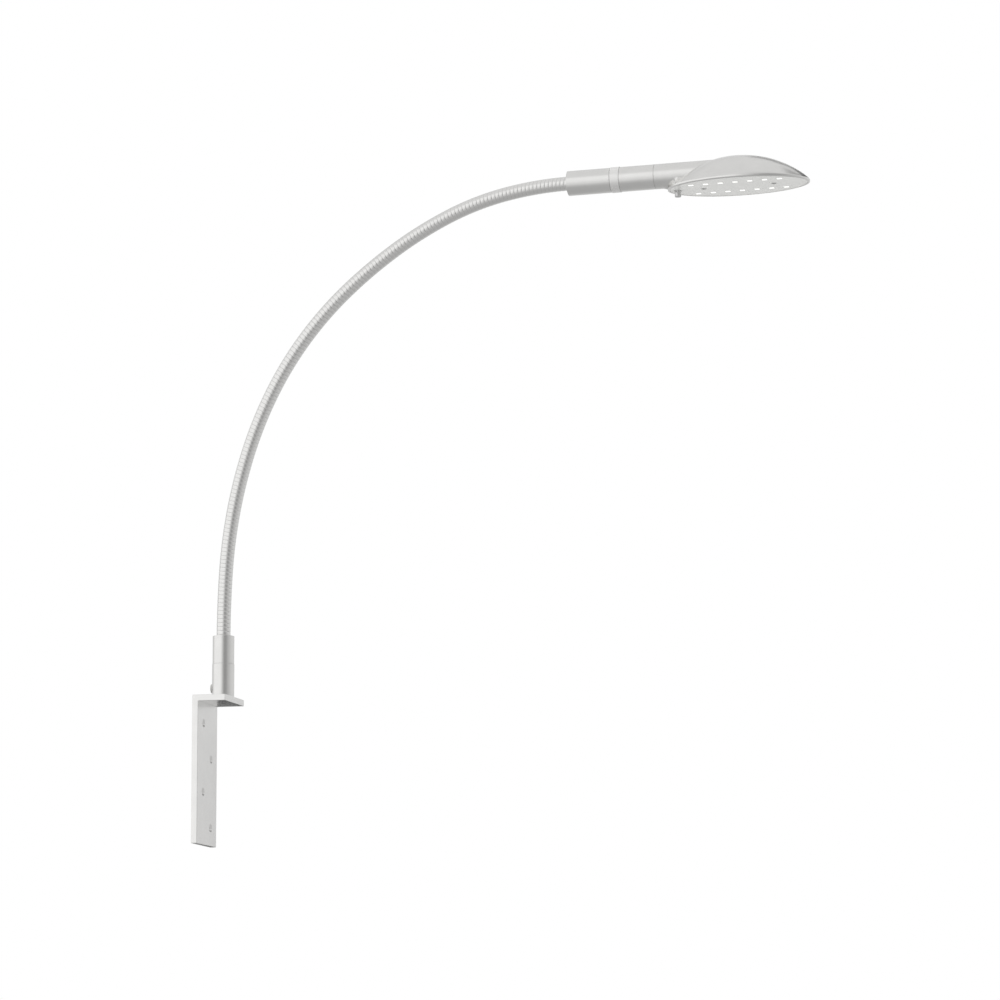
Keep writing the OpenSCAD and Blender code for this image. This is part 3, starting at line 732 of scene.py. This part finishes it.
def loftSections(name, sections):
    # a grid whose rows are the sections (x, one side's points), closed into a skin
    rings = []
    for x, side in sections:
        whole = side + [Vector((-point.x, point.y)) for point in side[-2:0:-1]]
        rings.append([Vector((x, point.x, point.y)) for point in whole + whole[:1]])
    along, around = len(rings) - 1, len(rings[0]) - 1
    freshStart()
    bpy.ops.mesh.primitive_grid_add(x_subdivisions=along, y_subdivisions=around, size=2, location=(0, 0, 0))
    piece = bpy.context.object
    piece.name = name
    for vert in piece.data.vertices:
        i, j = round((vert.co.x + 1) / 2 * along), round((vert.co.y + 1) / 2 * around)
        vert.co = rings[i][j] * mm
    tidyMesh(piece)
    bpy.ops.object.mode_set(mode="EDIT")
    markBoundary(piece)
    bpy.ops.mesh.edge_face_add()
    bpy.ops.object.mode_set(mode="OBJECT")
    tidyMesh(piece)
    return piece


def alongDome(length, steps):
    # places along the dome, closer together at the tips
    return [-length * math.cos(math.pi * i / steps) for i in range(steps + 1)]


def makeCavity():
    wall = housing["wall"]
    places = alongDome(housing["halfLength"] - wall, housing["cavitySteps"])
    return loftSections("cutter", [(x, halfOutline(x, wall, neck=False)) for x in places])


def alongRim(low, high, radius, height, sides=96):
    return moveTo(drillBit(radius, low, high, sides=sides),
                  Matrix.Translation((0, 0, height * mm)) @ Matrix.Rotation(math.pi / 2, 4, "Y"))


def makeHousing():
    h = housing
    start, inside, axis = h["neckStart"], h["neckInside"], h["axisHeight"]
    places = [start + h["neckEdge"]] + h["neckPlaces"] + alongDome(h["halfLength"], h["domeSteps"])
    sections = [(x, halfOutline(x)) for x in places]
    middle = Vector((0, axis))
    shrunk = [middle + (point - middle) * (1 - h["neckEdge"] / h["neckRadius"]) for point in sections[0][1]]
    shell = loftSections("lampHousing", [(start, shrunk)] + sections)
    cutWith(shell, [alongRim(start - h["spigot"], start + h["over"], h["spigotRadius"], axis)], "UNION")
    seat = ovalPrism("cutter", h["halfLength"] - h["wall"], h["halfWidth"] - h["wall"], -h["over"], h["seat"])
    bore = alongRim(start - h["spigot"] - h["over"], inside + h["over"], h["neckBore"], axis)
    pocket = moveTo(drillBit(h["pocketRadius"], h["pocketLow"], h["pocketHigh"]),
                    Matrix.Translation((h["pocketX"] * mm, 0, 0)))
    cutWith(shell, [makeCavity(), seat, bore, pocket])
    for x, top in h["bosses"]:
        aside, low = Matrix.Translation((x * mm, 0, 0)), h["bossLow"]
        cutWith(shell, [moveTo(drillBit(h["bossRadius"], low, top), aside)], "UNION")
        cutWith(shell, [moveTo(drillBit(h["bossBore"], low - h["over"], low + h["bossDeep"]), aside)])
    moveTo(shell, atRim)
    settle(shell, castFinish, ["head_housing"], "lamp_head", angle=40, flatFaces=False)


def ovalPrism(name, halfLength, halfWidth, low, high, sides=144):
    freshStart()
    bpy.ops.mesh.primitive_circle_add(vertices=sides, radius=1, fill_type="NGON", location=(0, 0, 0))
    piece = bpy.context.object
    piece.name = name
    bpy.ops.object.mode_set(mode="EDIT")
    bpy.ops.mesh.select_all(action="SELECT")
    bpy.ops.transform.resize(value=(halfLength * mm, halfWidth * mm, 1), center_override=(0, 0, 0))
    bpy.ops.transform.translate(value=(0, 0, low * mm))
    bpy.ops.mesh.extrude_region_move(TRANSFORM_OT_translate={"value": (0, 0, (high - low) * mm)})
    bpy.ops.object.mode_set(mode="OBJECT")
    tidyMesh(piece)
    return piece


makeHousing()
print("housing done")


# Cover plate, diodes, screws and push button, on the rim's own axes

face = {
    "plateLength": 65.0, "plateWidth": 38.2, "plateLow": 0.3, "plateHigh": 2.0, "plateEdge": 0.1,
    "cutLow": -2, "cutHigh": 4,
    "diodePitch": 14.0, "diodeRows": 37.0, "diodeCount": 7, "diodeLength": 5.4, "diodeWidth": 5.0,
    "diodeGap": 0.05, "diodeLow": 0.2, "diodeHigh": 2.1, "diodeFrame": 0.35, "diodeEdge": 0.12,
    "screwX": 33.4, "screwHole": 1.6, "screwHead": 2.7, "screwSeat": 0.8, "screwShank": 1.25, "screwTop": 9.7,
    "crownIn": 0.4, "crownHigh": 0.35, "crossLength": 3.6, "crossWidth": 0.8, "crossDeep": 0.75,
    "buttonX": -58.2, "buttonHole": 3.45, "buttonEdge": 0.2,
    "buttonOutline": [  # radius, height
        (0.001, -5.65), (2.0, -5.8), (2.55, -5.8), (3.0, -5.3),
        (3.0, 3.4), (2.4, 3.4), (2.4, 2.4), (0.001, 2.4)],
}


def diodePlaces():
    f = face
    return [((i - (f["diodeCount"] - 1) / 2) * f["diodePitch"], row * f["diodeRows"] / 2)
            for row in (-1, 1) for i in range(f["diodeCount"])]


def block(name, x, y, length, width, low, high):
    freshStart()
    bpy.ops.mesh.primitive_cube_add(size=1, location=(x * mm, y * mm, (low + high) / 2 * mm),
                                    scale=(length * mm, width * mm, (high - low) * mm))
    piece = bpy.context.object
    piece.name = name
    bpy.ops.object.transform_apply(location=True, rotation=True, scale=True)
    return piece


def joinPieces(name, pieces):
    freshStart()
    for piece in pieces:
        piece.select_set(True)
    bpy.context.view_layer.objects.active = pieces[0]
    if len(pieces) > 1:
        bpy.ops.object.join()
    pieces[0].name = name
    return pieces[0]


def makeFace():
    f = face
    plate = ovalPrism("coverPlate", f["plateLength"], f["plateWidth"], f["plateLow"], f["plateHigh"])
    length, width = (f[side] + 2 * f["diodeGap"] for side in ("diodeLength", "diodeWidth"))
    windows = [block("cutter", x, y, length, width, f["cutLow"], f["cutHigh"]) for x, y in diodePlaces()]
    holes = [moveTo(drillBit(radius, f["cutLow"], f["cutHigh"]), Matrix.Translation((x * mm, 0, 0)))
             for x, radius in ((-f["screwX"], f["screwHole"]), (f["screwX"], f["screwHole"]),
                               (f["buttonX"], f["buttonHole"]))]
    cutWith(plate, [joinPieces("cutter", windows + holes)])
    softenEdges(plate, f["plateEdge"], 2)
    settle(moveTo(plate, atRim), platePaint, ["cover_plate"], "lamp_head")
    makeDiodes()
    makeScrews()
    button = turnOutline("pushButton", f["buttonOutline"], 64)
    softenEdges(button, f["buttonEdge"], 2)
    moveTo(button, atRim @ Matrix.Translation((f["buttonX"] * mm, 0, 0)))
    settle(button, chromeFinish, ["push_button"], "button")


def makeDiodes():
    f = face
    diode = block("diode", 0, 0, f["diodeLength"], f["diodeWidth"], f["diodeLow"], f["diodeHigh"])
    bpy.ops.object.mode_set(mode="EDIT")
    selectFaces(diode, lambda one: one.normal.z < -0.9)
    bpy.ops.mesh.inset(thickness=f["diodeFrame"] * mm)
    bpy.ops.object.mode_set(mode="OBJECT")
    lens = diode.data.attributes.new("lens", "FLOAT", "FACE")
    lensReach = (f["diodeLength"] - f["diodeFrame"]) / 2 * mm
    for side, value in zip(diode.data.polygons, lens.data):
        corners = [diode.data.vertices[i].co for i in side.vertices]
        value.value = 1.0 if side.normal.z < -0.9 and all(abs(co.x) < lensReach for co in corners) else 0.0
    softenEdges(diode, f["diodeEdge"], 2, 60)
    places, diodes = diodePlaces(), [diode]
    for x, y in places[1:]:
        pickOnly(diode)
        bpy.ops.object.duplicate()
        diodes.append(moveTo(bpy.context.object, Matrix.Translation((x * mm, y * mm, 0))))
    moveTo(diode, Matrix.Translation(Vector((*places[0], 0)) * mm))
    settle(moveTo(joinPieces("diodes", diodes), atRim), diodeFinish, ["leds"], "lamp_head")


def makeScrews():
    f = face
    head, shank, seat, top = f["screwHead"], f["screwShank"], f["screwSeat"], f["screwTop"]
    screw = turnOutline("screw", [
        (0.001, 0), (head - f["crownIn"], 0), (head, f["crownHigh"]), (head, seat), (shank, seat),
        (shank, top), (0.001, top)], 48)
    recess = ((f["crossLength"], f["crossWidth"]), (f["crossWidth"], f["crossLength"]))
    cutWith(screw, [block("cutter", 0, 0, length, width, -1, f["crossDeep"]) for length, width in recess])
    pickOnly(screw)
    bpy.ops.object.duplicate()
    other = moveTo(bpy.context.object, Matrix.Translation((f["screwX"] * mm, 0, 0)))
    moveTo(screw, Matrix.Translation((-f["screwX"] * mm, 0, 0)))
    both = moveTo(joinPieces("plateScrews", [screw, other]), atRim)
    settle(both, steelFinish, ["plate_screws"], "lamp_head")


makeFace()
print("face done")


# The solids that stay get their finishes

keptFinishes = {
    "base_plug": steelFinish, "base_screw": steelFinish, "base_washer": whitePlastic,
    "base_spindle": brassFinish, "lower_ferrule": steelFinish, "upper_ferrule": steelFinish,
    "base_lead": leadSheath, "sleeve_lead": leadSheath, "head_cable": leadSheath, "core_wires": coreSheath,
    "head_washer": whitePlastic, "head_spindle": brassFinish, "led_board": boardWhite,
    "driver_board": boardGreen, "switch_body": blackPlastic, "switch_spring": springFinish,
}
for nodeName, finish in keptFinishes.items():
    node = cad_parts[nodeName]
    node.data.materials.clear()
    node.data.materials.append(finish)
print("solids dressed")


# Studio: pale floor, white world, soft lamps and grey flags that only the metal sees

studio = {
    "floorHeight": -0.6, "floorSize": 12, "floorColour": (0.80, 0.80, 0.79), "floorShade": 0.97,
    "worldLight": 0.75,
    "lamps": [  # name, place, size, power
        ("frontLeft", (-1.2, -2.0, 1.6), 1.6, 22),
        ("frontRight", (2.2, -1.4, 1.2), 1.4, 12),
        ("overhead", (0.4, 0.4, 2.4), 1.8, 14),
    ],
    "aim": (0.3, 0, 0.3),
    "roomRadius": 8.0, "roomSlope": 1.35, "roomTilt": 0.1,
    "roundTones": [  # degrees from the front towards the right, and the room's tone there
        (-180, 0.68), (-150, 0.62), (-105, 0.70), (-89, 1.0), (-31, 1.0), (-18, 0.98), (-7, 0.87), (4, 0.66),
        (14, 0.455), (24, 0.31), (35, 0.31), (46, 0.345), (57, 0.42), (69, 0.51), (81, 0.552), (94, 0.613),
        (109, 0.665), (125, 0.69), (180, 0.68)],
    "heightTones": [  # degrees above the level, and the tone there
        (-90, 0.45), (-50, 0.475), (-38, 0.56), (-29, 0.67), (-20, 0.83), (-10, 0.905), (-1, 1.0), (10, 1.07),
        (22, 1.10), (30, 1.03), (37, 0.93), (45, 0.78), (60, 0.765), (90, 0.77)],
    "cards": [  # name, place, width, height, tone, what it faces
        ("bracketCard", (-0.018, 0.150, -0.030), 0.086, 0.160, 0.08, (-0.018, -1.0, -0.030)),
        ("tipCard", (1.232, 0.771, 1.194), 1.55, 0.55, 0.08, (0.585, 0.0, 0.54)),
        ("edgeCard", (0.538, 0.890, 1.343), 0.30, 0.30, 0.3, (0.54, 0.0, 0.55)),
        ("upperTipCard", (1.214, 0.364, 1.618), 0.72, 0.45, 0.42, (0.585, 0.0, 0.54)),
    ],
}


def aimAt(thing, target):
    thing.rotation_euler = (Vector(target) - thing.location).to_track_quat("-Z", "Y").to_euler()


def newGlow(name):
    finish = bpy.data.materials.new(name)
    finish.use_nodes = True
    tree = finish.node_tree
    tree.nodes.clear()
    glow = tree.nodes.new("ShaderNodeEmission")
    output = tree.nodes.new("ShaderNodeOutputMaterial")
    tree.links.new(glow.outputs["Emission"], output.inputs["Surface"])
    return finish, tree, glow


def showToMetal(thing):
    # only glossy rays see it
    thing.visible_camera = thing.visible_diffuse = thing.visible_shadow = thing.visible_transmission = False


def toneCurve(tree, angle, tones, full):
    # tones by angle, from -full to full degrees
    ramp = tree.nodes.new("ShaderNodeValToRGB")
    reach = tree.nodes.new("ShaderNodeMapRange")
    reach.inputs["From Min"].default_value = -math.radians(full)
    reach.inputs["From Max"].default_value = math.radians(full)
    tree.links.new(angle, reach.inputs["Value"])
    tree.links.new(reach.outputs["Result"], ramp.inputs["Fac"])
    elements = ramp.color_ramp.elements
    for element, (_, tone) in zip(elements, (tones[0], tones[-1])):
        element.color = (tone, tone, tone, 1)
    for degrees, tone in tones[1:-1]:
        elements.new((degrees + full) / (2 * full)).color = (tone, tone, tone, 1)
    return ramp.outputs["Color"]


def makeRoomFinish():
    # what the metal mirrors: bright at the front left, darker at the right and below
    s = studio
    finish, tree, glow = newGlow("reflectionRoom")
    nodes, links = tree.nodes, tree.links

    def compute(operation, first, second=None):
        node = nodes.new("ShaderNodeMath")
        node.operation = operation
        for socket, value in zip(node.inputs, (first, second)):
            if isinstance(value, float):
                socket.default_value = value
            elif value is not None:
                links.new(value, socket)
        return node.outputs["Value"]

    coordinate = nodes.new("ShaderNodeTexCoord")
    axes = nodes.new("ShaderNodeSeparateXYZ")
    links.new(coordinate.outputs["Object"], axes.inputs["Vector"])
    x, y, z = (compute("DIVIDE", axes.outputs[axis], s["roomRadius"]) for axis in "XYZ")
    roundAngle = compute("ARCTAN2", x, compute("MULTIPLY", y, -1.0))
    sideways = toneCurve(tree, roundAngle, s["roundTones"], 180)
    upright = toneCurve(tree, compute("ARCSINE", z), s["heightTones"], 90)
    # straight up or down the direction round the room no longer counts
    slope = compute("MULTIPLY", compute("ABSOLUTE", compute("SUBTRACT", z, s["roomTilt"])), s["roomSlope"])
    away = compute("POWER", compute("MINIMUM", slope, 1.0), 2.0)
    mixed = compute("ADD", compute("MULTIPLY", sideways, compute("SUBTRACT", 1.0, away)), away)
    links.new(compute("MINIMUM", compute("MULTIPLY", mixed, upright), 1.0), glow.inputs["Color"])
    return finish


def makeStudio():
    s = studio
    freshStart()
    bpy.ops.mesh.primitive_plane_add(size=s["floorSize"], location=(0, 0, s["floorHeight"]))
    floor = bpy.context.object
    floor.name = "studioFloor"
    finish, tree, shader = newFinish("paleFloor", 0.8)
    darker = tuple(one * s["floorShade"] for one in s["floorColour"])
    tone = addRamp(tree, addPattern(tree, 0.004), darker, s["floorColour"])
    tree.links.new(tone, shader.inputs["Base Color"])
    floor.data.materials.append(finish)
    floor.visible_glossy = False
    for name, place, width, height, tone, target in s["cards"]:
        bpy.ops.mesh.primitive_plane_add(size=1, location=place)
        card = bpy.context.object
        card.name = name
        card.scale = (width, height, 1)
        aimAt(card, target)
        cardFinish, tree, glow = newGlow(name)
        glow.inputs["Color"].default_value = (tone, tone, tone, 1)
        card.data.materials.append(cardFinish)
        showToMetal(card)
    bpy.ops.mesh.primitive_uv_sphere_add(segments=64, ring_count=32, radius=s["roomRadius"], location=s["aim"])
    room = bpy.context.object
    room.name = "reflectionRoom"
    room.data.materials.append(makeRoomFinish())
    showToMetal(room)
    for name, place, size, power in s["lamps"]:
        bpy.ops.object.light_add(type="AREA", location=place)
        lamp = bpy.context.object
        lamp.name = name
        lamp.data.size, lamp.data.energy = size, power
        lamp.visible_glossy = False
        aimAt(lamp, s["aim"])
    world = bpy.data.worlds.new("whiteRoom")
    world.use_nodes = True
    bpy.context.scene.world = world
    tree = world.node_tree
    background = tree.nodes["Background"]
    path = tree.nodes.new("ShaderNodeLightPath")
    total = path.outputs["Is Camera Ray"]
    for ray in ("Is Glossy Ray", "Is Transmission Ray"):
        both = tree.nodes.new("ShaderNodeMath")
        both.operation = "MAXIMUM"
        tree.links.new(total, both.inputs[0])
        tree.links.new(path.outputs[ray], both.inputs[1])
        total = both.outputs[0]
    strength = tree.nodes.new("ShaderNodeMapRange")
    strength.inputs["To Min"].default_value = s["worldLight"]
    strength.inputs["To Max"].default_value = 1.0
    tree.links.new(total, strength.inputs["Value"])
    tree.links.new(strength.outputs["Result"], background.inputs["Strength"])
    background.inputs["Color"].default_value = (1, 1, 1, 1)


photoCamera = {
    "place": (1.3029, -4.0566, -0.3719), "turn": (98.45, 0, 14),
    "sensor": 36, "lens": 162.03, "near": 0.05, "far": 50,
}


def makeCamera():
    p = photoCamera
    bpy.ops.object.camera_add(location=p["place"], rotation=[math.radians(one) for one in p["turn"]])
    camera = bpy.context.object
    camera.name = "photoView"
    camera.data.sensor_width = p["sensor"]
    camera.data.lens = p["lens"]
    camera.data.clip_start, camera.data.clip_end = p["near"], p["far"]
    bpy.context.scene.camera = camera
    bpy.context.scene.view_settings.view_transform = "Standard"


makeStudio()
makeCamera()
print("studio done")
